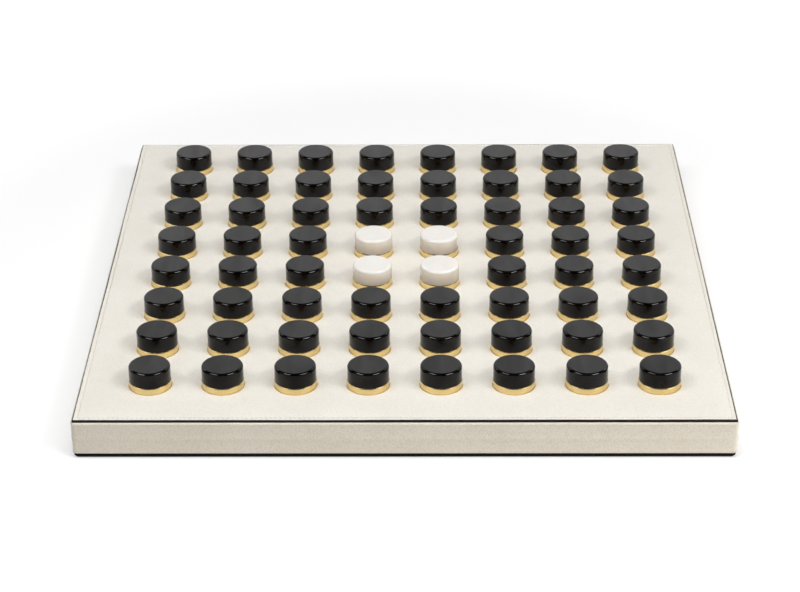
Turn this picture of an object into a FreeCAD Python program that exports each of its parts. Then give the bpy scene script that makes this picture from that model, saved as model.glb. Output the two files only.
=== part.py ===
import FreeCAD, Part
import os

# Reversi board with 64 two-sided tokens, each standing in a turned brass seat.
# Millimetres, Z up. The origin is the middle of the underside, where z = 0.

# The playing field: 8 rows of 8 places, row 1 nearest the viewer, column 1 at the left.
# The margin runs from the middle of an outer place to the edge of the top sheet.
FIELD = 8
FIELD_MARGIN = 43.15
WHITE_UP_ROWS = (4, 5)
WHITE_UP_COLUMNS = (4, 5)

# Base sheet under the slab.
BASE_THICKNESS = 3.2
BASE_INSET = 0.75
BASE_CHAMFER = 1.0

# Core panel with a band of leather round it.
CORE_HEIGHT = 21.2
WRAP_THICKNESS = 1.5
WRAP_PROUD = 1.1
WRAP_CORNER_RADIUS = 3.0
WRAP_TOP_ROUND = 1.2
WRAP_BOTTOM_ROUND = 0.5

# Leather sheet on top, with a groove for the stitching.
SHEET_SIDE = 400.6
SHEET_THICKNESS = 1.6
SHEET_EDGE_ROUND = 0.4
GROOVE_INSET = 3.0
GROOVE_WIDTH = 0.8
GROOVE_DEPTH = 0.35

# Tokens: a black half and a white half, bonded face to face.
TOKEN_DIAMETER = 25.8
HALF_THICKNESS = 11.5
TOKEN_EDGE_CHAMFER = 1.1
TOKEN_STANDS_PROUD = 14.2

# Brass seats, thin cups with a bevel up to the lip.
TOKEN_PLAY = 0.08
SEAT_WALL = 0.2
SEAT_FLOOR = 1.2
SEAT_PROUD = 4.0
SEAT_STRAIGHT_WALL = 3.35
SEAT_LIP_WIDTH = 0.06
SHEET_HOLE_PLAY = 0.15
CORE_HOLE_PLAY = 0.1

# Heights and widths that follow from the sizes above.
PITCH = (SHEET_SIDE - 2 * FIELD_MARGIN) / (FIELD - 1)
CORE_TOP = BASE_THICKNESS + CORE_HEIGHT
BOARD_TOP = CORE_TOP + SHEET_THICKNESS
TOKEN_TOP = BOARD_TOP + TOKEN_STANDS_PROUD
TOKEN_JOINT = TOKEN_TOP - HALF_THICKNESS
TOKEN_BOTTOM = TOKEN_JOINT - HALF_THICKNESS
SEAT_BOTTOM = TOKEN_BOTTOM - SEAT_FLOOR
SEAT_TOP = BOARD_TOP + SEAT_PROUD
WRAP_SIDE = SHEET_SIDE + 2 * WRAP_PROUD
CORE_SIDE = WRAP_SIDE - 2 * WRAP_THICKNESS
BASE_SIDE = WRAP_SIDE - 2 * BASE_INSET
CORE_CORNER_RADIUS = WRAP_CORNER_RADIUS - WRAP_THICKNESS
TOKEN_RADIUS = TOKEN_DIAMETER / 2
SEAT_BORE_RADIUS = TOKEN_RADIUS + TOKEN_PLAY
SEAT_RADIUS = SEAT_BORE_RADIUS + SEAT_WALL


def save(name, shape):
    """Write one node as a STEP file."""
    shape.exportStep(os.path.join("parts", name + ".step"))


def place(row, column):
    """The middle of one place of the field, seen from above."""
    middle = (FIELD + 1) / 2
    return FreeCAD.Vector((column - middle) * PITCH, (row - middle) * PITCH, 0)


def all_places():
    """The middles of the 64 places."""
    numbers = range(1, FIELD + 1)
    return [place(row, column) for row in numbers for column in numbers]


def slab(side, bottom, height):
    """A square slab with its middle on the origin's axis."""
    corner = FreeCAD.Vector(-side / 2, -side / 2, bottom)
    return Part.makeBox(side, side, height, corner)


def upright_edges(shape):
    """The straight edges that run along Z."""
    return [e for e in shape.Edges if e.BoundBox.ZLength > e.BoundBox.XLength + e.BoundBox.YLength]


def edges_at(shape, height):
    """The edges that lie flat at one height."""
    return [e for e in shape.Edges if e.BoundBox.ZLength < 0.001 and abs(e.BoundBox.ZMin - height) < 0.001]


def rounded_slab(side, bottom, height, corner_radius):
    """A square slab with its upright corners rounded."""
    block = slab(side, bottom, height)
    return block.makeFillet(corner_radius, upright_edges(block))


def pegs(radius, bottom, height):
    """One round peg at each place of the field, for cutting the holes."""
    peg = Part.makeCylinder(radius, height, FreeCAD.Vector(0, 0, bottom))
    return [peg.translated(spot) for spot in all_places()]


def turned(points):
    """A solid of revolution round Z from a closed outline of radius and height."""
    outline = [FreeCAD.Vector(radius, 0, height) for radius, height in points]
    outline.append(outline[0])
    face = Part.Face(Part.makePolygon(outline))
    return face.revolve(FreeCAD.Vector(0, 0, 0), FreeCAD.Vector(0, 0, 1), 360)


def row_of(shape, row, columns):
    """Copies of one shape along a row of the field, as separate solids."""
    return [shape.translated(place(row, column)) for column in columns]


def base_sheet():
    """The black sheet that the slab rests on, set in a little and chamfered below."""
    sheet = rounded_slab(BASE_SIDE, 0, BASE_THICKNESS, WRAP_CORNER_RADIUS)
    return sheet.makeChamfer(BASE_CHAMFER, edges_at(sheet, 0))


def core_panel():
    """The panel inside the leather, with a blind hole for each seat."""
    panel = rounded_slab(CORE_SIDE, BASE_THICKNESS, CORE_HEIGHT, CORE_CORNER_RADIUS)
    depth = CORE_TOP - SEAT_BOTTOM
    return panel.cut(pegs(SEAT_RADIUS + CORE_HOLE_PLAY, SEAT_BOTTOM, depth))


def side_wrap():
    """The leather band round the panel, with soft edges at top and bottom."""
    band = rounded_slab(WRAP_SIDE, BASE_THICKNESS, CORE_HEIGHT, WRAP_CORNER_RADIUS)
    band = band.makeFillet(WRAP_TOP_ROUND, edges_at(band, CORE_TOP))
    band = band.makeFillet(WRAP_BOTTOM_ROUND, edges_at(band, BASE_THICKNESS))
    return band.cut(rounded_slab(CORE_SIDE, BASE_THICKNESS, CORE_HEIGHT, CORE_CORNER_RADIUS))


def top_sheet():
    """The leather sheet on top, pierced for the seats and grooved for the stitching."""
    sheet = slab(SHEET_SIDE, CORE_TOP, SHEET_THICKNESS)
    sheet = sheet.makeFillet(SHEET_EDGE_ROUND, edges_at(sheet, BOARD_TOP))
    groove_side = SHEET_SIDE - 2 * GROOVE_INSET + GROOVE_WIDTH
    groove_floor = BOARD_TOP - GROOVE_DEPTH
    groove = slab(groove_side, groove_floor, GROOVE_DEPTH)
    groove = groove.cut(slab(groove_side - 2 * GROOVE_WIDTH, groove_floor, GROOVE_DEPTH))
    sheet = sheet.cut(groove)
    return sheet.cut(pegs(SEAT_RADIUS + SHEET_HOLE_PLAY, CORE_TOP, SHEET_THICKNESS))


def seat():
    """A thin turned cup with a straight collar and a bevelled shoulder up to its lip."""
    lip_radius = SEAT_BORE_RADIUS + SEAT_LIP_WIDTH
    return turned([
        (0, SEAT_BOTTOM),
        (SEAT_RADIUS, SEAT_BOTTOM),
        (SEAT_RADIUS, BOARD_TOP + SEAT_STRAIGHT_WALL),
        (lip_radius, SEAT_TOP),
        (SEAT_BORE_RADIUS, SEAT_TOP),
        (SEAT_BORE_RADIUS, TOKEN_BOTTOM),
        (0, TOKEN_BOTTOM),
    ])


def upper_half():
    """The half of a token that shows, with its top edge eased."""
    return turned([
        (0, TOKEN_JOINT),
        (TOKEN_RADIUS, TOKEN_JOINT),
        (TOKEN_RADIUS, TOKEN_TOP - TOKEN_EDGE_CHAMFER),
        (TOKEN_RADIUS - TOKEN_EDGE_CHAMFER, TOKEN_TOP),
        (0, TOKEN_TOP),
    ])


def lower_half():
    """The half of a token that stands in the seat, with its bottom edge eased."""
    return turned([
        (0, TOKEN_BOTTOM),
        (TOKEN_RADIUS - TOKEN_EDGE_CHAMFER, TOKEN_BOTTOM),
        (TOKEN_RADIUS, TOKEN_BOTTOM + TOKEN_EDGE_CHAMFER),
        (TOKEN_RADIUS, TOKEN_JOINT),
        (0, TOKEN_JOINT),
    ])


def token_halves(row):
    """The black halves and the white halves of one row, in that order."""
    columns = range(1, FIELD + 1)
    turned_over = [c for c in columns if row in WHITE_UP_ROWS and c in WHITE_UP_COLUMNS]
    black_up = [c for c in columns if c not in turned_over]
    upper = upper_half()
    lower = lower_half()
    black = row_of(upper, row, black_up) + row_of(lower, row, turned_over)
    white = row_of(lower, row, black_up) + row_of(upper, row, turned_over)
    return black, white


def main():
    """Build every node and write it."""
    os.makedirs("parts", exist_ok=True)
    save("base_sheet", base_sheet())
    save("core_panel", core_panel())
    save("side_wrap", side_wrap())
    save("top_sheet", top_sheet())
    columns = range(1, FIELD + 1)
    for row in range(1, FIELD + 1):
        black, white = token_halves(row)
        save("brass_seats_row_%d" % row, Part.makeCompound(row_of(seat(), row, columns)))
        save("black_token_halves_row_%d" % row, Part.makeCompound(black))
        save("white_token_halves_row_%d" % row, Part.makeCompound(white))


main()
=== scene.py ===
"""Dresses the reversi board: leather slab, brass seats and two-sided stone tokens."""

import logging
import math
from dataclasses import dataclass
from enum import Enum
from typing import Iterable, Optional, Sequence

import bmesh
import bpy
from mathutils import Matrix, Vector


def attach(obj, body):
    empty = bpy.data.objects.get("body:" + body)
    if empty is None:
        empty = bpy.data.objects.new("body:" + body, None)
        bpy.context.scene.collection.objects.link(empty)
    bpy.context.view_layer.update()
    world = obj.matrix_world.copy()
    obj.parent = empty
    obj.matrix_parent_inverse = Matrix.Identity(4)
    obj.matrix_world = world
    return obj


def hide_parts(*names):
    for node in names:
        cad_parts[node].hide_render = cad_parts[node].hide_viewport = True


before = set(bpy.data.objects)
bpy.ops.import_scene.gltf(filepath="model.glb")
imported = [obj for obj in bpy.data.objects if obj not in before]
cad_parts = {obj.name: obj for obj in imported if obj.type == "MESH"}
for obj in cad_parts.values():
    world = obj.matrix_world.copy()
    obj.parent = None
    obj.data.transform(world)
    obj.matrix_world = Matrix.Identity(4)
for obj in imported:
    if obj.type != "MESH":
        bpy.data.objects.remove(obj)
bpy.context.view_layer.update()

MM = 0.001
LOG = logging.getLogger("reversi_board")

Point = tuple[float, float]
Profile = Sequence[Point]
Tree = bpy.types.NodeTree
Socket = bpy.types.NodeSocket
Material = bpy.types.Material
Object = bpy.types.Object


class Slot(Enum):
    """The record's material slots of the pieces that are built here."""

    IVORY_LEATHER = "ivory_leather"
    BRASS = "brass"
    BLACK_STONE = "black_stone"
    WHITE_STONE = "white_stone"


class Stone(Enum):
    """The two stones of a token."""

    BLACK = "black"
    WHITE = "white"


class Reach(Enum):
    """What a lamp does: light and glints, light alone, or glints alone."""

    ALL = "all"
    LIGHT = "light"
    GLINT = "glint"


def linear(hex_colour: str, alpha: float = 1.0) -> tuple[float, float, float, float]:
    """Turn an sRGB hex colour into linear values.

    Args:
        hex_colour: Six hex digits after a hash.
        alpha: The opacity to put behind the three values.

    Returns:
        Red, green, blue and alpha, linear.
    """
    values = [int(hex_colour[i:i + 2], 16) / 255 for i in (1, 3, 5)]
    straight = [v / 12.92 if v <= 0.04045 else ((v + 0.055) / 1.055) ** 2.4 for v in values]
    return straight[0], straight[1], straight[2], alpha


def add_node(
    tree: Tree,
    kind: str,
    settings: Optional[dict[str, object]] = None,
    inputs: Optional[dict[object, object]] = None,
) -> bpy.types.Node:
    """Add one node with its settings and its inputs.

    Args:
        tree: The node tree to add to.
        kind: The node's type name.
        settings: Properties of the node itself.
        inputs: Input name or number, with a value or the output socket to link.

    Returns:
        The new node.
    """
    node = tree.nodes.new(kind)
    for name, value in (settings or {}).items():
        setattr(node, name, value)
    for name, value in (inputs or {}).items():
        if isinstance(value, Socket):
            tree.links.new(value, node.inputs[name])
        else:
            node.inputs[name].default_value = value
    return node


def ramp(
    tree: Tree,
    factor: Socket,
    stops: Sequence[tuple[float, tuple[float, float, float, float]]],
) -> Socket:
    """Add a colour ramp.

    Args:
        tree: The node tree to add to.
        factor: The socket that drives the ramp.
        stops: Each place from 0 to 1 with its colour.

    Returns:
        The ramp's colour output.
    """
    node = add_node(tree, "ShaderNodeValToRGB", None, {"Fac": factor})
    elements = node.color_ramp.elements
    while len(elements) < len(stops):
        elements.new(1.0)
    for element, (position, colour) in zip(elements, stops):
        element.position = position
        element.color = colour
    return node.outputs["Color"]


def grey(value: float) -> tuple[float, float, float, float]:
    """Return a linear grey with full opacity."""
    return value, value, value, 1.0


def noise(
    tree: Tree,
    place: Socket,
    scale: float,
    detail: float,
    roughness: float = 0.5,
    distortion: float = 0.0,
) -> Socket:
    """Add a noise texture.

    Args:
        tree: The node tree to add to.
        place: The coordinates that it follows.
        scale: Blots for each metre.
        detail: How many finer layers lie on it.
        roughness: How strong the finer layers are.
        distortion: How far it is bent.

    Returns:
        Its value from 0 to 1.
    """
    inputs = {"Vector": place, "Scale": scale, "Detail": detail}
    inputs |= {"Roughness": roughness, "Distortion": distortion}
    return add_node(tree, "ShaderNodeTexNoise", None, inputs).outputs["Fac"]


def maths(tree: Tree, operation: str, *values: object) -> Socket:
    """Add a maths node with its values or sockets in order, and return its result."""
    return add_node(tree, "ShaderNodeMath", {"operation": operation}, dict(enumerate(values))).outputs[0]


def blend(tree: Tree, factor: object, first: object, second: object, how: str = "MIX") -> Socket:
    """Add a colour mix and return its colour."""
    settings = {"data_type": "RGBA", "blend_type": how}
    return add_node(tree, "ShaderNodeMix", settings, {"Factor": factor, 6: first, 7: second}).outputs[2]


def principled(tree: Tree, values: dict[str, object]) -> Socket:
    """Add the main shader with its inputs and return its output."""
    return add_node(tree, "ShaderNodeBsdfPrincipled", None, values).outputs[0]


def new_material(name: str) -> tuple[Material, Tree, Socket, Socket]:
    """Make a material with an empty tree and an output.

    Args:
        name: The material's name.

    Returns:
        The material, its tree, the output's surface input and the object coordinates.
    """
    material = bpy.data.materials.new(name)
    material.use_nodes = True
    tree = material.node_tree
    tree.nodes.clear()
    surface = tree.nodes.new("ShaderNodeOutputMaterial").inputs["Surface"]
    return material, tree, surface, add_node(tree, "ShaderNodeTexCoord").outputs["Object"]


# --- finishes ---


@dataclass(frozen=True)
class GrainedLeather:
    """Calf leather, dyed through and pressed with a fine pebble grain.

    It gives a soft satin sheen that breaks up in tiny pebbles, with faint cloudy shifts of tone and painted
    shade in the pebbles' pits.
    The real grain is about 0.4 mm; it is drawn at grain_mm, the finest that the render shows.
    """

    name: str
    colour: str
    shade: str
    grain_mm: float = 0.75
    grain_depth_mm: float = 0.05
    painted_shade_in_pits: float = 0.9
    roughness: float = 0.52
    ior: float = 1.45
    edge_colour: Optional[str] = None
    edge_start_mm: float = 199.6

    def build(self) -> Material:
        """Build the material, with a painted edge where one is given.

        Returns:
            The new material.
        """
        material, tree, surface, place = new_material(self.name)
        warp = add_node(tree, "ShaderNodeTexNoise", None, {"Vector": place, "Scale": 420.0, "Detail": 1.0})
        bent = add_node(
            tree,
            "ShaderNodeMix",
            {"data_type": "VECTOR"},
            {"Factor": 0.0006, 4: place, 5: warp.outputs["Color"]},
        ).outputs[1]
        pebble = add_node(
            tree,
            "ShaderNodeTexVoronoi",
            {"feature": "SMOOTH_F1"},
            {"Vector": bent, "Scale": 1000.0 / self.grain_mm, "Smoothness": 0.6},
        ).outputs["Distance"]
        cloud = noise(tree, place, 22.0, 4.0, roughness=0.6)
        tone = ramp(tree, cloud, [(0.35, linear(self.shade)), (0.65, linear(self.colour))])
        # Painted shade: the pits of the grain are darkened in the colour.
        pit_painted_shade = ramp(tree, pebble, [(0.15, grey(1.0)), (0.75, grey(self.painted_shade_in_pits))])
        bump = add_node(
            tree,
            "ShaderNodeBump",
            {"invert": True},
            {"Strength": 0.55, "Distance": self.grain_depth_mm * MM, "Height": pebble},
        ).outputs["Normal"]
        leather = principled(tree, {
            "Base Color": blend(tree, 1.0, tone, pit_painted_shade, "MULTIPLY"),
            "Roughness": self.roughness,
            "IOR": self.ior,
            "Normal": bump,
        })
        if self.edge_colour:
            paint = principled(tree, {"Base Color": linear(self.edge_colour), "Roughness": 0.4, "IOR": 1.3})
            painted = self._paint_mask(tree, place)
            leather = add_node(tree, "ShaderNodeMixShader", None, {0: painted, 1: leather, 2: paint}).outputs[0]
        tree.links.new(leather, surface)
        return material

    def _paint_mask(self, tree: Tree, place: Socket) -> Socket:
        """Mark the outermost strip, with the slight wander of paint laid on by hand.

        Args:
            tree: The material's tree.
            place: The object coordinates.

        Returns:
            1 on the painted strip and 0 inside it.
        """
        axes = add_node(tree, "ShaderNodeSeparateXYZ", None, {0: place}).outputs
        reach = maths(tree, "MAXIMUM", maths(tree, "ABSOLUTE", axes[0]), maths(tree, "ABSOLUTE", axes[1]))
        for scale, swing in ((12.0, 0.0011), (260.0, 0.0003)):
            wander = noise(tree, place, scale, 2.0)
            reach = maths(tree, "ADD", reach, maths(tree, "MULTIPLY_ADD", wander, swing, -swing / 2))
        return maths(tree, "GREATER_THAN", reach, self.edge_start_mm * MM)


@dataclass(frozen=True)
class PolishedStone:
    """Stone turned and polished, with faint clouding and a few thin veins.

    Polish gives sharp reflections, a little uneven; the body colour shifts a little from token to token.
    Where painted shade tints are given, the colour is multiplied by a painted shade that warms and darkens it
    towards the joint, for the less light that the lower side of a translucent stone takes.
    """

    name: str
    body: str
    cloud: str
    vein: str
    roughness: float
    ior: float
    vein_width: float
    soft_light: float
    joint_mm: float = 28.7
    painted_shade_tints: Sequence[tuple[float, str]] = ()

    def build(self) -> Material:
        """Build the material.

        Returns:
            The new material.
        """
        material, tree, surface, place = new_material(self.name)
        clouds = noise(tree, place, 95.0, 6.0, roughness=0.62, distortion=0.6)
        tone = ramp(tree, clouds, [(0.38, linear(self.body)), (0.72, linear(self.cloud))])
        stretched = add_node(
            tree,
            "ShaderNodeMapping",
            None,
            {"Vector": place, "Rotation": (0.3, 0.2, 0.6), "Scale": (1.0, 0.28, 1.0)},
        ).outputs[0]
        waves = noise(tree, stretched, 60.0, 3.0, distortion=1.2)
        near = maths(tree, "ABSOLUTE", maths(tree, "SUBTRACT", waves, 0.5))
        veins = ramp(tree, near, [(0.0, grey(1.0)), (self.vein_width, grey(0.0))])
        some = ramp(tree, noise(tree, place, 28.0, 1.0), [(0.52, grey(0.0)), (0.62, grey(1.0))])
        colour = blend(tree, maths(tree, "MULTIPLY", veins, some), tone, linear(self.vein))
        if self.painted_shade_tints:
            colour = self._paint_shade_to_joint(tree, place, colour)
        smudges = noise(tree, stretched, 70.0, 2.0, roughness=0.45, distortion=0.8)
        polish = add_node(
            tree,
            "ShaderNodeMapRange",
            None,
            {"Value": smudges, "From Min": 0.3, "From Max": 0.7, "To Min": 0.42, "To Max": 0.7},
        ).outputs[0]
        stone = principled(tree, {
            "Base Color": colour,
            "Roughness": self.roughness,
            "IOR": self.ior,
            "Specular IOR Level": polish,
            "Subsurface Weight": self.soft_light,
            "Subsurface Radius": (0.006, 0.0048, 0.0036),
            "Subsurface Scale": 1.0,
        })
        tree.links.new(stone, surface)
        return material

    def _paint_shade_to_joint(self, tree: Tree, place: Socket, colour: Socket) -> Socket:
        """Multiply the colour by painted shade tints that follow the height over the joint, darker and warmer
        towards it.

        Args:
            tree: The material's tree.
            place: The object coordinates.
            colour: The stone's own colour.

        Returns:
            The colour with its painted shade.
        """
        reach = self.painted_shade_tints[-1][0]
        height = add_node(tree, "ShaderNodeSeparateXYZ", None, {0: place}).outputs["Z"]
        share = add_node(
            tree,
            "ShaderNodeMapRange",
            None,
            {"Value": height, "From Min": self.joint_mm * MM, "From Max": (self.joint_mm + reach) * MM},
        ).outputs[0]
        # Painted shade: the colour warms and darkens towards the joint, for the lower side taking less light.
        painted_shade_ramp = ramp(tree, share, [(above / reach, linear(shade)) for above, shade in self.painted_shade_tints])
        return blend(tree, 1.0, colour, painted_shade_ramp, "MULTIPLY")


@dataclass(frozen=True)
class TurnedBrass:
    """Brass turned on a lathe and polished: warm, bright, with the finest rings left by the tool."""

    name: str = "turned_brass"
    colour: str = "#E1C98F"
    roughness: float = 0.15

    def build(self) -> Material:
        """Build the material.

        Returns:
            The new material.
        """
        material, tree, surface, place = new_material(self.name)
        squashed = add_node(
            tree, "ShaderNodeMapping", None, {"Vector": place, "Scale": (60.0, 60.0, 5200.0)}
        ).outputs[0]
        bump = add_node(
            tree,
            "ShaderNodeBump",
            None,
            {"Strength": 0.12, "Distance": 0.00002, "Height": noise(tree, squashed, 1.0, 2.0)},
        ).outputs["Normal"]
        brass = principled(tree, {
            "Base Color": linear(self.colour),
            "Metallic": 1.0,
            "Roughness": self.roughness,
            "Normal": bump,
        })
        tree.links.new(brass, surface)
        return material


@dataclass(frozen=True)
class SpeckledMatt:
    """A matt material of two close tones: the panel's short brown fibres, the plies of the waxed thread."""

    name: str
    dark: str
    light: str
    specks_per_metre: float
    detail: float
    spread: float
    roughness: float

    def build(self) -> Material:
        """Build the material.

        Returns:
            The new material.
        """
        material, tree, surface, place = new_material(self.name)
        specks = noise(tree, place, self.specks_per_metre, self.detail)
        stops = [(0.5 - self.spread, linear(self.dark)), (0.5 + self.spread, linear(self.light))]
        values = {"Base Color": ramp(tree, specks, stops), "Roughness": self.roughness, "IOR": 1.5}
        tree.links.new(principled(tree, values), surface)
        return material


# --- meshes ---

SHARP_ANGLE = math.radians(65)


def arc(middle: Point, radius: float, start: float, end: float, steps: int) -> list[Point]:
    """Return points along an arc in a profile's plane.

    Args:
        middle: The arc's middle.
        radius: Its radius.
        start: The first angle in degrees.
        end: The last angle in degrees.
        steps: How many parts it is cut into.

    Returns:
        The points, the first and the last included.
    """
    angles = [math.radians(start + (end - start) * i / steps) for i in range(steps + 1)]
    return [(middle[0] + radius * math.cos(a), middle[1] + radius * math.sin(a)) for a in angles]


def ring_quads(low: int, high: int, count: int) -> list[Sequence[int]]:
    """Return the quads between two rings, given the number of each ring's first vertex."""
    return [(low + i, low + (i + 1) % count, high + (i + 1) % count, high + i) for i in range(count)]


def finish_piece(obj: Object, nodes: Iterable[str] = ()) -> Object:
    """Tie a finished piece to the part's one body.

    Args:
        obj: The finished piece.
        nodes: The CAD nodes that it stands for.

    Returns:
        The same piece.
    """
    if nodes:
        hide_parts(*nodes)
    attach(obj, "root")
    LOG.info("%s: %d faces", obj.name, len(obj.data.polygons))
    return obj


def object_from(name: str, verts: list[Vector], faces: list[Sequence[int]]) -> Object:
    """Make a smooth-shaded object whose faces all point outwards.

    Args:
        name: The object's name.
        verts: The vertices in metres.
        faces: The faces as vertex numbers.

    Returns:
        The new object, linked to the scene.
    """
    mesh = bpy.data.meshes.new(name)
    mesh.from_pydata(verts, [], faces)
    work = bmesh.new()
    work.from_mesh(mesh)
    bmesh.ops.remove_doubles(work, verts=work.verts, dist=1e-7)
    bmesh.ops.recalc_face_normals(work, faces=work.faces)
    for face in work.faces:
        face.smooth = True
    for edge in work.edges:
        edge.smooth = edge.calc_face_angle(0.0) < SHARP_ANGLE
    work.to_mesh(mesh)
    work.free()
    obj = bpy.data.objects.new(name, mesh)
    bpy.context.scene.collection.objects.link(obj)
    return obj


@dataclass
class TurnedPiece:
    """A piece turned on a lathe, from an outline of radius and height in millimetres."""

    name: str
    outline: Profile
    segments: int = 64

    def build(self) -> Object:
        """Spin the outline round Z; its first and last points lie on the axis.

        Returns:
            The turned piece.
        """
        verts: list[Vector] = []
        faces: list[Sequence[int]] = []
        count = self.segments
        turns = [2 * math.pi * i / count for i in range(count)]
        inner = self.outline[1:-1]
        for radius, height in inner:
            verts += [Vector((radius * math.cos(t), radius * math.sin(t), height)) * MM for t in turns]
        for row in range(len(inner) - 1):
            faces += ring_quads(row * count, (row + 1) * count, count)
        for ring, (_, height) in ((0, self.outline[0]), (len(inner) - 1, self.outline[-1])):
            verts.append(Vector((0, 0, height)) * MM)
            pole = len(verts) - 1
            faces += [(pole, ring * count + i, ring * count + (i + 1) % count) for i in range(count)]
        return object_from(self.name, verts, faces)


def new_geometry_tree(
    name: str, sockets: Sequence[tuple[str, str]]
) -> tuple[Tree, bpy.types.bpy_prop_collection]:
    """Make a geometry tree with named inputs and one geometry output.

    Args:
        name: The tree's name.
        sockets: Each input's name and kind.

    Returns:
        The tree and the outputs of its input node.
    """
    tree = bpy.data.node_groups.new(name, "GeometryNodeTree")
    for label, kind in sockets:
        tree.interface.new_socket(label, in_out="INPUT", socket_type="NodeSocket" + kind)
    tree.interface.new_socket("Geometry", in_out="OUTPUT", socket_type="NodeSocketGeometry")
    return tree, add_node(tree, "NodeGroupInput").outputs


def close_tree(tree: Tree, placed: Socket, finish: Socket) -> None:
    """Turn instances into plain mesh, give it its finish and pass it out.

    Args:
        tree: The tree to close.
        placed: The instances.
        finish: The material's socket.
    """
    real = add_node(tree, "GeometryNodeRealizeInstances", None, {0: placed}).outputs[0]
    dressed = add_node(tree, "GeometryNodeSetMaterial", None, {"Geometry": real, "Material": finish}).outputs[0]
    add_node(tree, "NodeGroupOutput", None, {0: dressed})


class RowMaker:
    """Repeats turned pieces along one row of the field with Geometry Nodes."""

    def __init__(self) -> None:
        """Build the tree once."""
        self.tree = self._build_tree()

    def _build_tree(self) -> Tree:
        """Build the tree: a line of points, a little play, two kinds of piece, then plain mesh.

        Returns:
            The tree.
        """
        tree, given = new_geometry_tree("row_of_turned_pieces", (
            ("Standing Piece", "Object"),
            ("Turned-over Piece", "Object"),
            ("Places", "Int"),
            ("Spacing", "Float"),
            ("First Place", "Vector"),
            ("First Turned Over", "Int"),
            ("Last Turned Over", "Int"),
            ("Play", "Float"),
            ("Seed", "Int"),
            ("Finish", "Material"),
        ))
        step = add_node(tree, "ShaderNodeCombineXYZ", None, {"X": given["Spacing"]}).outputs[0]
        line = add_node(
            tree,
            "GeometryNodeMeshLine",
            {"mode": "OFFSET"},
            {"Count": given["Places"], "Start Location": given["First Place"], "Offset": step},
        ).outputs[0]
        number = add_node(tree, "GeometryNodeInputIndex").outputs[0]
        play = given["Play"]
        back = maths(tree, "MULTIPLY", play, -1.0)
        least = add_node(tree, "ShaderNodeCombineXYZ", None, {"X": back, "Y": back}).outputs[0]
        most = add_node(tree, "ShaderNodeCombineXYZ", None, {"X": play, "Y": play}).outputs[0]
        shift = add_node(
            tree,
            "FunctionNodeRandomValue",
            {"data_type": "FLOAT_VECTOR"},
            {0: least, 1: most, "ID": number, "Seed": given["Seed"]},
        ).outputs[0]
        moved = add_node(tree, "GeometryNodeSetPosition", None, {"Geometry": line, "Offset": shift}).outputs[0]
        turn = add_node(
            tree,
            "FunctionNodeRandomValue",
            {"data_type": "FLOAT_VECTOR"},
            {0: (0.0, 0.0, 0.0), 1: (0.0, 0.0, 2 * math.pi), "ID": number, "Seed": given["Seed"]},
        ).outputs[0]
        after, before = (
            add_node(
                tree,
                "FunctionNodeCompare",
                {"data_type": "INT", "operation": operation},
                {2: number, 3: given[limit]},
            ).outputs[0]
            for operation, limit in (("GREATER_EQUAL", "First Turned Over"), ("LESS_EQUAL", "Last Turned Over"))
        )
        over = add_node(tree, "FunctionNodeBooleanMath", {"operation": "AND"}, {0: after, 1: before}).outputs[0]
        upright = add_node(tree, "FunctionNodeBooleanMath", {"operation": "NOT"}, {0: over}).outputs[0]
        join = add_node(tree, "GeometryNodeJoinGeometry")
        for source, chosen in (("Standing Piece", upright), ("Turned-over Piece", over)):
            piece = add_node(
                tree, "GeometryNodeObjectInfo", None, {"Object": given[source], "As Instance": True}
            ).outputs["Geometry"]
            placed = add_node(
                tree,
                "GeometryNodeInstanceOnPoints",
                None,
                {"Points": moved, "Selection": chosen, "Instance": piece, "Rotation": turn},
            ).outputs[0]
            tree.links.new(placed, join.inputs[0])
        close_tree(tree, join.outputs[0], given["Finish"])
        return tree

    def make(self, name: str, values: dict[str, object]) -> Object:
        """Run the tree for one row and keep its result as a plain mesh.

        Args:
            name: The piece's name.
            values: The tree's inputs by name.

        Returns:
            The row as one object.
        """
        return mesh_from_tree(name, self.tree, values)


def mesh_from_tree(name: str, tree: Tree, values: dict[str, object]) -> Object:
    """Evaluate a geometry tree with given inputs and keep a plain mesh.

    Args:
        name: The new object's name.
        tree: The tree to run.
        values: Its inputs by name.

    Returns:
        An object without modifiers.
    """
    holder = bpy.data.objects.new(name + "_holder", bpy.data.meshes.new(name + "_holder"))
    bpy.context.scene.collection.objects.link(holder)
    modifier = holder.modifiers.new("nodes", "NODES")
    modifier.node_group = tree
    for item in tree.interface.items_tree:
        if item.in_out == "INPUT" and item.name in values:
            modifier[item.identifier] = values[item.name]
    graph = bpy.context.evaluated_depsgraph_get()
    mesh = bpy.data.meshes.new_from_object(holder.evaluated_get(graph))
    mesh.name = name
    bpy.data.objects.remove(holder)
    obj = bpy.data.objects.new(name, mesh)
    bpy.context.scene.collection.objects.link(obj)
    return obj


# --- sub-assemblies ---


@dataclass
class Field:
    """The 8 by 8 field; lengths in millimetres, heights from the underside."""

    places: int = 8
    spacing: float = 44.9
    board_top: float = 26.0
    white_up: tuple[int, int] = (4, 5)

    def row_place(self, row: int) -> tuple[float, float, float]:
        """Return the first place of a row, in metres."""
        middle = (self.places - 1) / 2
        return -middle * self.spacing * MM, (row - 1 - middle) * self.spacing * MM, 0.0

    def steps(self) -> list[float]:
        """Return the middles of the places along one row, in millimetres."""
        return [(i - (self.places - 1) / 2) * self.spacing for i in range(self.places)]

    def middles(self) -> list[Point]:
        """Return the middles of all the places, in millimetres."""
        return [(x, y) for y in self.steps() for x in self.steps()]


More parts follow.
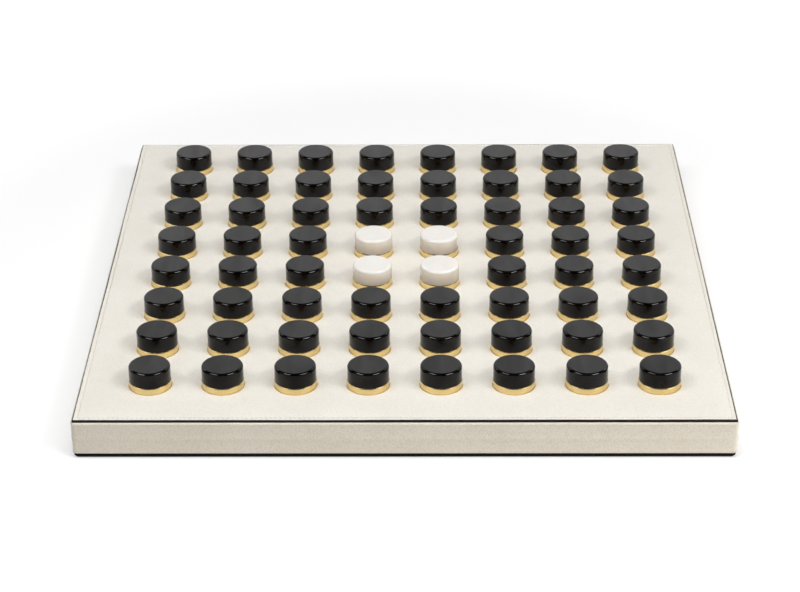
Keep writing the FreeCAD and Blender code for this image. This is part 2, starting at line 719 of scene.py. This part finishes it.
@dataclass
class SeatRows:
    """The 64 turned brass seats, one piece a row."""

    field: Field
    radius: float = 13.18
    bore: float = 12.98
    bottom: float = 16.0
    floor: float = 17.2
    proud: float = 4.0
    straight: float = 3.35
    lip: float = 0.02

    def outline(self) -> list[Point]:
        """Work out the cup's outline.

        Returns:
            Points from the middle of its underside to the middle of its floor.
        """
        top = self.field.board_top + self.proud
        shoulder = self.field.board_top + self.straight
        lip = self.bore + self.lip
        lean = (self.radius - lip) / (top - shoulder)
        points = [(0, self.bottom), (self.radius - 0.5, self.bottom), (self.radius, self.bottom + 0.5)]
        points += [(self.radius, self.field.board_top - 0.5)]
        points += [(self.radius, shoulder - 0.12), (self.radius, shoulder - 0.04)]
        points += [(self.radius - lean * 0.04, shoulder + 0.04), (self.radius - lean * 0.12, shoulder + 0.12)]
        points += [(lip, top), (self.bore, top), (self.bore, self.floor + 0.3), (self.bore - 0.3, self.floor)]
        return points + [(0, self.floor)]

    def build(self, rows: RowMaker, finish: Material) -> None:
        """Build one piece for each row.

        Args:
            rows: The tree that repeats pieces.
            finish: The brass.
        """
        seat = TurnedPiece("seat_pattern", self.outline()).build()
        for row in range(1, self.field.places + 1):
            name = f"brass_seats_{row}"
            piece = rows.make(name, {
                "Standing Piece": seat,
                "Turned-over Piece": seat,
                "Places": self.field.places,
                "Spacing": self.field.spacing * MM,
                "First Place": self.field.row_place(row),
                "First Turned Over": 100,
                "Last Turned Over": -1,
                "Play": 0.0,
                "Seed": 40 + row,
                "Finish": finish,
            })
            finish_piece(piece, [f"brass_seats_row_{row}"])
        bpy.data.objects.remove(seat)


@dataclass
class TokenRows:
    """The two-sided tokens: black halves and white halves, one piece each a row."""

    field: Field
    radius: float = 12.9
    half: float = 11.5
    proud: float = 14.2
    edge_round: float = 1.6
    play: float = 0.045

    def half_outline(self, upper: bool) -> list[Point]:
        """Return the outline of a half, from its bottom to its top on the axis.

        Args:
            upper: True for the half that shows, False for the one in the seat.

        Returns:
            The outline in millimetres.
        """
        top = self.field.board_top + self.proud
        joint = top - self.half
        r, e = self.radius, self.edge_round
        shown = [(0, joint), (r - 0.15, joint), (r - 0.06, joint + 0.03), (r, joint + 0.12)]
        shown += [(r, joint + 0.3), (r, top - e - 0.2)]
        shown += arc((r - e, top - e), e, 0, 90, 7)
        shown += [(r - e - 0.2, top), (0, top)]
        if upper:
            return shown
        return [(radius, 2 * joint - height) for radius, height in reversed(shown)]

    def build(self, rows: RowMaker, finishes: dict[Stone, Material]) -> None:
        """Build the black halves and the white halves of each row.

        Args:
            rows: The tree that repeats pieces.
            finishes: The two stones.
        """
        upper = TurnedPiece("upper_half_pattern", self.half_outline(True)).build()
        lower = TurnedPiece("lower_half_pattern", self.half_outline(False)).build()
        low, high = self.field.white_up
        for row in range(1, self.field.places + 1):
            mixed = low <= row <= high
            for stone, standing, over in ((Stone.BLACK, upper, lower), (Stone.WHITE, lower, upper)):
                piece = rows.make(f"{stone.value}_halves_{row}", {
                    "Standing Piece": standing,
                    "Turned-over Piece": over,
                    "Places": self.field.places,
                    "Spacing": self.field.spacing * MM,
                    "First Place": self.field.row_place(row),
                    "First Turned Over": low - 1 if mixed else 100,
                    "Last Turned Over": high - 1 if mixed else -1,
                    "Play": self.play * MM,
                    "Seed": 7 + row,
                    "Finish": finishes[stone],
                })
                finish_piece(piece, [f"{stone.value}_token_halves_row_{row}"])
        bpy.data.objects.remove(upper)
        bpy.data.objects.remove(lower)


@dataclass
class TopSheet:
    """The leather sheet on top: pierced for the seats, grooved for the stitching, edge painted black."""

    field: Field
    half_side: float = 200.3
    thickness: float = 1.6
    hole: float = 13.36
    groove_inset: float = 3.0
    groove_depth: float = 0.35
    around: int = 48

    def _square_ring(self, half: float, height: float) -> list[Vector]:
        """Return a square loop of points that matches the cells' outer edges.

        Args:
            half: Half the loop's side in millimetres.
            height: Its height in millimetres.

        Returns:
            The loop, anticlockwise from the front left corner.
        """
        reach = self.field.places * self.field.spacing / 2
        per_side = self.around // 4
        cell = [math.tan(math.radians(-45 + 90 * i / per_side)) for i in range(per_side)]
        line = [x + t * self.field.spacing / 2 for x in self.field.steps() for t in cell]
        line = [value * half / reach for value in line]
        corners = [Vector((t, -half, height)) for t in line]
        corners += [Vector((half, t, height)) for t in line]
        corners += [Vector((-t, half, height)) for t in line]
        corners += [Vector((-half, -t, height)) for t in line]
        return [point * MM for point in corners]

    def _border_profile(self) -> list[Point]:
        """Work out the border's section.

        Returns:
            Half sides and heights, from the field out over the groove, round the edge and back below.
        """
        top, low = self.field.board_top, self.field.board_top - self.thickness
        reach = self.field.places * self.field.spacing / 2
        middle = self.half_side - self.groove_inset
        depth = self.groove_depth
        rings = [(reach, top), (reach + 6, top), (middle - 0.8, top), (middle - 0.5, top - 0.02)]
        rings += [(middle - 0.38, top - 0.12), (middle - 0.25, top - depth * 0.8), (middle, top - depth)]
        rings += [(middle + 0.25, top - depth * 0.8), (middle + 0.38, top - 0.12), (middle + 0.5, top - 0.02)]
        rings += [(middle + 0.8, top), (self.half_side - 1.2, top)]
        rings += arc((self.half_side - 0.5, top - 0.5), 0.5, 90, 0, 5)
        rings += [(self.half_side, low + 0.4)]
        rings += arc((self.half_side - 0.3, low + 0.3), 0.3, 0, -90, 3)
        rings += [(middle - 0.8, low), (reach, low)]
        return rings

    def build(self, finish: Material) -> Object:
        """Build the sheet.

        Args:
            finish: The leather with its painted edge.

        Returns:
            The finished piece.
        """
        verts: list[Vector] = []
        faces: list[Sequence[int]] = []

        def bridge(first: list[Vector], second: list[Vector]) -> None:
            """Join two loops of the same length with quads.

            Args:
                first: The one loop.
                second: The other loop.
            """
            start, count = len(verts), len(first)
            verts.extend(first + second)
            faces.extend(ring_quads(start, start + count, count))

        border = self._border_profile()
        for (half_a, z_a), (half_b, z_b) in zip(border, border[1:]):
            bridge(self._square_ring(half_a, z_a), self._square_ring(half_b, z_b))
        top, low = self.field.board_top, self.field.board_top - self.thickness
        angles = [math.radians(-135 + 360 * i / self.around) for i in range(self.around)]
        half = self.field.spacing / 2
        for x, y in self.field.middles():
            middle = Vector((x, y, 0))
            outer = []
            for a in angles:
                reach = half / max(abs(math.cos(a)), abs(math.sin(a)))
                outer.append(Vector((math.cos(a) * reach, math.sin(a) * reach, 0)))
            rings = [(None, top), (self.hole + 2.5, top), (self.hole + 0.9, top - 0.04)]
            rings += [(self.hole + 0.25, top - 0.12), (self.hole, top - 0.3), (self.hole, low), (None, low)]
            loops = []
            for radius, height in rings:
                flat = outer
                if radius is not None:
                    flat = [Vector((math.cos(a), math.sin(a), 0)) * radius for a in angles]
                loops.append([(middle + p + Vector((0, 0, height))) * MM for p in flat])
            for first, second in zip(loops, loops[1:]):
                bridge(first, second)
        sheet = object_from("leather_top", verts, faces)
        sheet.data.materials.append(finish)
        return finish_piece(sheet, ["top_sheet"])


@dataclass
class SideWrap:
    """The leather band round the slab, drawn tight over the panel with soft edges."""

    half_side: float = 201.4
    corner: float = 3.0
    bottom: float = 3.2
    top: float = 24.4
    thickness: float = 1.5
    top_round: float = 1.0
    bottom_round: float = 0.45
    ridge_share: float = 0.48
    ridge_width: float = 0.09
    ridge_height: float = 0.24
    side_steps: int = 60
    corner_steps: int = 8
    seam_width: float = 0.5
    seam_depth: float = 0.35

    def _loop(self, inset: float, height: float) -> list[Vector]:
        """Return the band's outline at one height.

        Args:
            inset: How far it is drawn in, in millimetres.
            height: The height in millimetres.

        Returns:
            The points, in metres.
        """
        radius = max(self.corner - inset, 0.5)
        flat = self.half_side - inset - radius
        points: list[Vector] = []
        for quarter in range(4):
            turn = Matrix.Rotation(math.radians(90 * quarter), 4, "Z")
            run = [-flat + 2 * flat * i / self.side_steps for i in range(self.side_steps)]
            run = sorted(run + [-self.seam_width, -self.seam_width / 2, self.seam_width / 2, self.seam_width])
            straight = [Vector((x, -flat - radius, 0)) for x in run]
            bend = []
            for i in range(self.corner_steps):
                a = math.radians(-90 + 90 * i / self.corner_steps)
                bend.append(Vector((flat + radius * math.cos(a), -flat + radius * math.sin(a), 0)))
            points += [turn @ p for p in straight + bend]
        return [Vector((p.x, p.y, height)) * MM for p in points]

    def _sunk(self, point: Vector, inset: float) -> Vector:
        """Return a point of the outside moved into the seam, where the band's ends meet at the back."""
        depth = self.seam_depth * MM * max(0.0, 1 - abs(point.x) / (self.seam_width * MM))
        return point - Vector((0, depth, 0)) if point.y > 0 and inset < 0.6 else point

    def _profile(self) -> list[Point]:
        """Work out the band's section.

        Returns:
            Insets and heights, up the outside and down the inside.
        """
        a, b = self.bottom_round, self.top_round
        section = [(a + 0.4, self.bottom)] if a + 0.4 < self.thickness else []
        section += [
            (a - math.sin(t) * a, self.bottom + a - math.cos(t) * a) for t in map(math.radians, (0, 30, 60, 90))
        ]
        rise = self.top - self.bottom
        for step in range(2, 19):
            share = step / 20
            ridge = math.exp(-((share - self.ridge_share) / self.ridge_width) ** 2)
            section.append((self.ridge_height * (1 - ridge), self.bottom + rise * share))
        section += [
            (b - math.cos(t) * b, self.top - b + math.sin(t) * b) for t in map(math.radians, range(0, 91, 18))
        ]
        section += [(self.thickness, self.top), (self.thickness, self.bottom)]
        return section

    def build(self, finish: Material) -> Object:
        """Build the band.

        Args:
            finish: The leather.

        Returns:
            The finished piece.
        """
        verts: list[Vector] = []
        faces: list[Sequence[int]] = []
        section = self._profile()
        for inset, height in section:
            verts += [self._sunk(point, inset) for point in self._loop(inset, height)]
        count = len(verts) // len(section)
        for row in range(len(section)):
            faces += ring_quads(row * count, (row + 1) % len(section) * count, count)
        band = object_from("leather_side_band", verts, faces)
        band.data.materials.append(finish)
        return finish_piece(band, ["side_wrap"])


@dataclass
class Stitching:
    """A line of saddle stitches in the groove of the top sheet."""

    field: Field
    half_side: float = 197.3
    stitch_pitch: float = 2.9
    stitch_length: float = 2.62
    thread_radius: float = 0.27
    sink: float = 0.03

    def _stitch(self) -> Object:
        """Build one stitch along X.

        Returns:
            A short thread with rounded ends.
        """
        half, r = self.stitch_length / 2, self.thread_radius
        rings = [(-half, 0.3), (-half * 0.72, 0.88), (0, 1.0), (half * 0.72, 0.88), (half, 0.3)]
        verts: list[Vector] = []
        for x, share in rings:
            for i in range(6):
                a = math.radians(60 * i)
                verts.append(Vector((x, r * share * math.cos(a), r * share * math.sin(a))) * MM)
        faces: list[Sequence[int]] = [tuple(range(6)), tuple(range(24, 30))]
        for row in range(4):
            faces += ring_quads(row * 6, row * 6 + 6, 6)
        return object_from("stitch_pattern", verts, faces)

    def _tree(self) -> Tree:
        """Build the tree that sets stitches along a square path.

        Returns:
            The tree.
        """
        tree, given = new_geometry_tree("stitches_on_a_square", (
            ("Stitch", "Object"),
            ("Side", "Float"),
            ("Stitch Pitch", "Float"),
            ("Height", "Float"),
            ("Wobble", "Float"),
            ("Seed", "Int"),
            ("Finish", "Material"),
        ))
        path = add_node(
            tree, "GeometryNodeCurvePrimitiveQuadrilateral", None, {0: given["Side"], 1: given["Side"]}
        ).outputs[0]
        lift = add_node(tree, "ShaderNodeCombineXYZ", None, {"Z": given["Height"]}).outputs[0]
        raised = add_node(tree, "GeometryNodeSetPosition", None, {"Geometry": path, "Offset": lift}).outputs[0]
        points = add_node(
            tree,
            "GeometryNodeCurveToPoints",
            {"mode": "LENGTH"},
            {"Curve": raised, "Length": given["Stitch Pitch"]},
        )
        wobble = add_node(
            tree, "FunctionNodeRandomValue", {"data_type": "FLOAT"}, {2: -0.5, 3: 0.5, "Seed": given["Seed"]}
        ).outputs[1]
        swing = maths(tree, "MULTIPLY", wobble, given["Wobble"])
        slant = add_node(tree, "ShaderNodeCombineXYZ", None, {"Z": swing}).outputs[0]
        along = add_node(
            tree,
            "FunctionNodeAlignEulerToVector",
            {"axis": "X", "pivot_axis": "Z"},
            {"Vector": points.outputs["Tangent"]},
        ).outputs[0]
        turned = add_node(
            tree, "FunctionNodeRotateEuler", {"rotation_type": "EULER", "space": "LOCAL"}, {0: along, 1: slant}
        ).outputs[0]
        stitch = add_node(
            tree, "GeometryNodeObjectInfo", None, {"Object": given["Stitch"], "As Instance": True}
        ).outputs["Geometry"]
        placed = add_node(
            tree,
            "GeometryNodeInstanceOnPoints",
            None,
            {"Points": points.outputs[0], "Instance": stitch, "Rotation": turned},
        ).outputs[0]
        close_tree(tree, placed, given["Finish"])
        return tree

    def build(self, finish: Material) -> Object:
        """Build the stitching.

        Args:
            finish: The thread.

        Returns:
            The finished piece.
        """
        stitch = self._stitch()
        piece = mesh_from_tree("edge_stitching", self._tree(), {
            "Stitch": stitch,
            "Side": 2 * self.half_side * MM,
            "Stitch Pitch": self.stitch_pitch * MM,
            "Height": (self.field.board_top - self.thread_radius - self.sink) * MM,
            "Wobble": 0.14,
            "Seed": 11,
            "Finish": finish,
        })
        bpy.data.objects.remove(stitch)
        return finish_piece(piece)


@dataclass
class PlainNodes:
    """The pieces that keep their CAD solids: the base sheet and the hidden panel."""

    def build(self, finishes: dict[str, Material]) -> None:
        """Give each node its finish.

        Args:
            finishes: The finish of each node by name.
        """
        for name, finish in finishes.items():
            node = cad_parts[name]
            node.data.materials.clear()
            node.data.materials.append(finish)
            LOG.info("%s keeps its solid", name)


# --- studio ---


@dataclass(frozen=True)
class Lamp:
    """One soft lamp that faces the board.

    bearing is in degrees round from the viewer's side to the right, height in degrees above the table,
    away and size are in metres.
    """

    name: str
    bearing: float
    height: float
    away: float
    size: tuple[float, float]
    watts: float
    reach: Reach = Reach.ALL

    def build(self) -> None:
        """Add the lamp to the stage."""
        data = bpy.data.lights.new(self.name, "AREA")
        data.shape = "RECTANGLE"
        data.size, data.size_y = self.size
        data.energy = self.watts
        lamp = bpy.data.objects.new(self.name, data)
        bpy.context.scene.collection.objects.link(lamp)
        around, up = math.radians(self.bearing), math.radians(self.height)
        spot = Vector((math.sin(around) * math.cos(up), -math.cos(around) * math.cos(up), math.sin(up)))
        lamp.location = spot * self.away
        lamp.rotation_euler = (-spot).to_track_quat("-Z", "Y").to_euler()
        lamp.visible_camera = False
        lamp.visible_glossy = self.reach is not Reach.LIGHT
        lamp.visible_diffuse = self.reach is not Reach.GLINT


LAMPS = (
    Lamp("key_right", 50, 45, 2.3, (1.0, 0.5), 20.0),
    Lamp("key_left", -55, 50, 2.3, (1.0, 0.5), 12.0),
    Lamp("overhead", 0, 78, 1.8, (1.6, 1.6), 23.5, Reach.LIGHT),
    Lamp("low_right", 60, 4, 0.85, (0.6, 0.08), 2.1, Reach.LIGHT),
    Lamp("low_glint_right", 58, 8, 0.9, (0.6, 0.2), 0.45, Reach.GLINT),
    Lamp("low_glint_left", -52, 8, 0.9, (0.5, 0.2), 0.3, Reach.GLINT),
    Lamp("edge_glint_right", 118, 32, 1.9, (0.35, 0.6), 4.0, Reach.GLINT),
    Lamp("edge_glint_left", -118, 32, 1.9, (0.4, 0.6), 3.6, Reach.GLINT),
    Lamp("glint_right", 52, 46, 2.3, (1.3, 0.4), 26.0, Reach.GLINT),
    Lamp("glint_left", -54, 49, 2.3, (1.3, 0.4), 25.0, Reach.GLINT),
)


@dataclass
class Studio:
    """A white sweep in a dim room, with soft lamps in front and above.

    The lamps marked GLINT stand in for bright strips of the room: they show only in polished rims and brass.
    Lengths are in metres; glow runs from its near to its far value between the two glow distances.
    """

    lamps: Sequence[Lamp] = LAMPS
    floor_reach: float = 9.0
    floor_front: float = 0.75
    floor_drop: float = 0.0001
    backdrop_reach: float = 4.5
    backdrop_away: float = 3.4
    backdrop_height: float = 3.6
    glow_distances: tuple[float, float] = (0.3, 0.75)
    room_light: float = 0.09
    room_mirrored: float = 0.04

    def _white(self, name: str, painted: float, glow: float, far_glow: float) -> Material:
        """Return a white that keeps shadows and shows as white to the camera and in reflections.

        Args:
            name: The material's name.
            painted: The share that takes light and shadow.
            glow: The share that is always there near the board.
            far_glow: The share that is always there far from it.

        Returns:
            The material.
        """
        material, tree, surface, place = new_material(name)
        path = add_node(tree, "ShaderNodeLightPath").outputs
        seen = maths(tree, "MAXIMUM", path["Is Camera Ray"], path["Is Glossy Ray"])
        seen = maths(tree, "MAXIMUM", seen, path["Is Transmission Ray"])
        matt = add_node(tree, "ShaderNodeBsdfDiffuse", None, {"Color": grey(0.7)})
        pale = add_node(tree, "ShaderNodeBsdfDiffuse", None, {"Color": grey(painted)})
        away = add_node(tree, "ShaderNodeVectorMath", {"operation": "LENGTH"}, {0: place}).outputs["Value"]
        near, far = self.glow_distances
        level = add_node(
            tree,
            "ShaderNodeMapRange",
            {"interpolation_type": "SMOOTHSTEP"},
            {"Value": away, "From Min": near, "From Max": far, "To Min": glow, "To Max": far_glow},
        ).outputs[0]
        light = add_node(tree, "ShaderNodeEmission", None, {"Color": grey(1.0), "Strength": level})
        shown = add_node(tree, "ShaderNodeAddShader", None, {0: pale.outputs[0], 1: light.outputs[0]})
        both = add_node(tree, "ShaderNodeMixShader", None, {0: seen, 1: matt.outputs[0], 2: shown.outputs[0]})
        tree.links.new(both.outputs[0], surface)
        return material

    def _sheet(self, name: str, corners: Sequence[tuple[float, float, float]], finish: Material) -> None:
        """Add one flat stage sheet.

        Args:
            name: The sheet's name.
            corners: Its four corners in metres.
            finish: Its material.
        """
        mesh = bpy.data.meshes.new(name)
        mesh.from_pydata(corners, [], [(0, 1, 2, 3)])
        obj = bpy.data.objects.new(name, mesh)
        bpy.context.scene.collection.objects.link(obj)
        mesh.materials.append(finish)

    def _room(self) -> None:
        """Build the world: white to the camera, dim as light and dimmer still in reflections."""
        world = bpy.data.worlds.new("dim_room")
        bpy.context.scene.world = world
        world.use_nodes = True
        tree = world.node_tree
        tree.nodes.clear()
        path = add_node(tree, "ShaderNodeLightPath").outputs
        room, mirrored, white = (
            add_node(tree, "ShaderNodeBackground", None, {"Color": grey(1.0), "Strength": level}).outputs[0]
            for level in (self.room_light, self.room_mirrored, 1.0)
        )
        around = add_node(tree, "ShaderNodeMixShader", None, {0: path["Is Glossy Ray"], 1: room, 2: mirrored})
        both = add_node(
            tree, "ShaderNodeMixShader", None, {0: path["Is Camera Ray"], 1: around.outputs[0], 2: white}
        )
        add_node(tree, "ShaderNodeOutputWorld", None, {"Surface": both.outputs[0]})

    def build(self) -> None:
        """Build the sweep, the lamps and the world."""
        far, front, low = self.floor_reach, -self.floor_front, -self.floor_drop
        side, away, top = self.backdrop_reach, self.backdrop_away, self.backdrop_height
        self._sheet(
            "floor",
            [(-far, front, low), (far, front, low), (far, far, low), (-far, far, low)],
            self._white("white_table", 0.60, 0.37, 1.0),
        )
        self._sheet(
            "backdrop",
            [(-side, away, 0.0), (side, away, 0.0), (side, away, top), (-side, away, top)],
            self._white("white_backdrop", 0.3, 1.0, 1.0),
        )
        for lamp in self.lamps:
            lamp.build()
        self._room()
        LOG.info("studio built")


@dataclass
class PhotoCamera:
    """The camera of the photograph: a long lens a good metre away, looking down at the board."""

    place_mm: tuple[float, float, float] = (10.56, -1373.23, 739.85)
    tilt: float = 28.203
    yaw: float = -0.6188
    roll: float = -0.3667
    focal_px: float = 2282.3
    width_px: float = 800.0

    def build(self) -> None:
        """Place the camera and make it the scene's own."""
        data = bpy.data.cameras.new("photo_camera")
        data.sensor_width = 36.0
        data.lens = self.focal_px / self.width_px * 36.0
        data.clip_start, data.clip_end = 0.05, 60.0
        camera = bpy.data.objects.new("photo_camera", data)
        bpy.context.scene.collection.objects.link(camera)
        tilt, yaw, roll = (math.radians(v) for v in (self.tilt, self.yaw, self.roll))
        ahead = Vector((math.sin(yaw) * math.cos(tilt), math.cos(yaw) * math.cos(tilt), -math.sin(tilt)))
        right = ahead.cross(Vector((0, 0, 1))).normalized()
        up = right.cross(ahead)
        side = right * math.cos(roll) + up * math.sin(roll)
        over = up * math.cos(roll) - right * math.sin(roll)
        pose = Matrix((side, over, -ahead)).transposed().to_4x4()
        pose.translation = Vector(self.place_mm) * MM
        camera.matrix_world = pose
        bpy.context.scene.camera = camera


def main() -> None:
    """Build every piece, the studio and the camera."""
    logging.basicConfig(level=logging.INFO, format="%(message)s")
    bpy.context.scene.view_settings.view_transform = "Standard"
    top_leather = GrainedLeather(
        "ivory_calf_leather_top", "#EAE6DD", "#E6E1D7", grain_depth_mm=0.02, edge_colour="#130E0C"
    ).build()
    # The side band's ivory leather is the top's leather painted darker and yellower: painted shade for the
    # upright sides, which take less light; its coarser grain is its own.
    shaded_side_leather = GrainedLeather(
        "ivory_calf_leather_side_painted_shade", "#DED6C7", "#D9D0BF", grain_mm=1.0, grain_depth_mm=0.12, painted_shade_in_pits=0.87
    ).build()
    base_leather = GrainedLeather("black_calf_leather", "#0C0B0C", "#080708", roughness=0.6, ior=1.2).build()
    fibre_board = SpeckledMatt("raw_fibre_board", "#8E7350", "#B2946C", 900.0, 5.0, 0.15, 0.85).build()
    thread = SpeckledMatt("waxed_linen_thread", "#B5AB94", "#D8D0BD", 2400.0, 1.0, 0.1, 0.6).build()
    stones = {
        Stone.BLACK: PolishedStone(
            "polished_black_stone", "#010101", "#110B08", "#241F1C", 0.12, 1.29, 0.006, 0.0
        ).build(),
        Stone.WHITE: PolishedStone(
            "polished_white_stone", "#E3DFD9", "#E6E3DE", "#F7F5F2", 0.14, 1.48, 0.012, 0.8,
            # Painted shade: the white halves darken and warm towards the joint, for their lower sides taking
            # less light.
            painted_shade_tints=(
                (0.5, "#D3CAC1"), (2.8, "#DCD3CA"), (5.3, "#EDE4DB"), (8.5, "#FFFBF5"), (10.5, "#FFFFFF")
            ),
        ).build(),
    }
    field = Field()
    rows = RowMaker()
    PlainNodes().build({"base_sheet": base_leather, "core_panel": fibre_board})
    SideWrap().build(shaded_side_leather)
    TopSheet(field).build(top_leather)
    Stitching(field).build(thread)
    SeatRows(field).build(rows, TurnedBrass().build())
    TokenRows(field).build(rows, stones)
    Studio().build()
    PhotoCamera().build()


if __name__ == "__main__":
    main()
